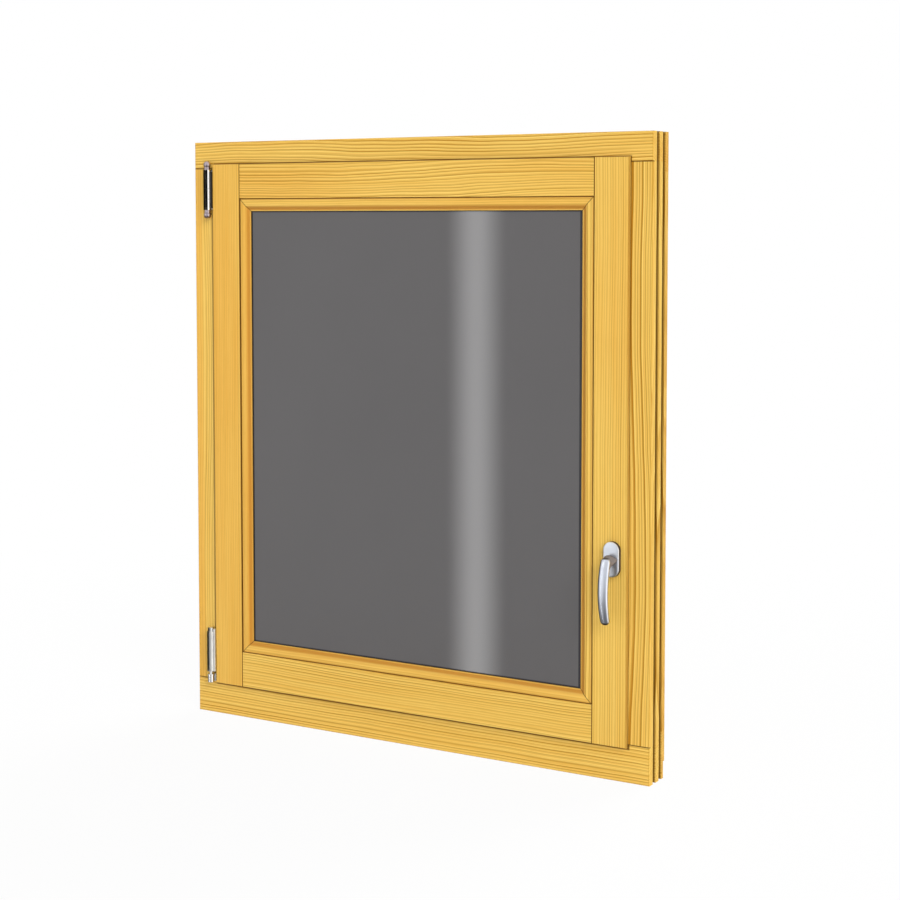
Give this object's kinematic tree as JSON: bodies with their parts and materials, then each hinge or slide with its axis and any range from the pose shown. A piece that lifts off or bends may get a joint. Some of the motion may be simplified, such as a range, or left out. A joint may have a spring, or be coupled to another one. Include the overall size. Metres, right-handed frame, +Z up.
{
  "type": "tilt and turn window",
  "caption": "Single-sash tilt and turn window in oiled pine, seen closed: slot-and-tenon frame, moulded glazing beads, triple glazing and a lever handle on an oval rosette",
  "frame": {"origin": "centre of the bottom rail's flat underside, midway through the frame's depth", "axes": "X along the width with the handle at +X and the hinges at -X, Y through the depth with the inside face towards -Y, Z up"},
  "size_m": [1.046, 0.132, 1.2],
  "materials": {
    "pine": "satin",
    "glass": "polished",
    "spacer_bar": "satin",
    "black_rubber": "matte",
    "satin_metal": "satin",
    "plain_steel": "satin",
    "polished_steel": "polished",
    "rail_aluminium": "satin",
    "cap_plastic": "matte"
  },
  "bodies": {
    "window": {"frame_head": "pine", "frame_sill": "pine", "frame_jamb_left": "pine", "frame_jamb_right": "pine", "sash_stile_left": "pine", "sash_stile_right": "pine", "sash_rail_top": "pine", "sash_rail_bottom": "pine", "glazing_bead_left": "pine", "glazing_bead_right": "pine", "glazing_bead_top": "pine", "glazing_bead_bottom": "pine", "glass_inner": "glass", "glass_middle": "glass", "glass_outer": "glass", "spacer_inner": "spacer_bar", "spacer_middle": "spacer_bar", "gasket_inner": "black_rubber", "gasket_outer": "black_rubber", "sash_seal": "black_rubber", "handle_rosette": "satin_metal", "hinge_top_bearing": "polished_steel", "hinge_top_pin": "polished_steel", "hinge_bottom_band": "polished_steel", "hinge_bottom_bearing": "polished_steel", "hinge_bottom_pin": "polished_steel", "hinge_top_leaf": "polished_steel", "rain_rail": "rail_aluminium", "rain_rail_cap_left": "cap_plastic", "rain_rail_cap_right": "cap_plastic"},
    "handle": {"handle_lever": "satin_metal", "handle_spindle": "plain_steel"}
  },
  "joints": [
    {"name": "handle_turn", "type": "hinge", "parent": "window", "child": "handle", "pos_m": [0.451, -0.043, 0.417], "axis": [0, 1, 0], "range_deg": [0, 180]}
  ]
}
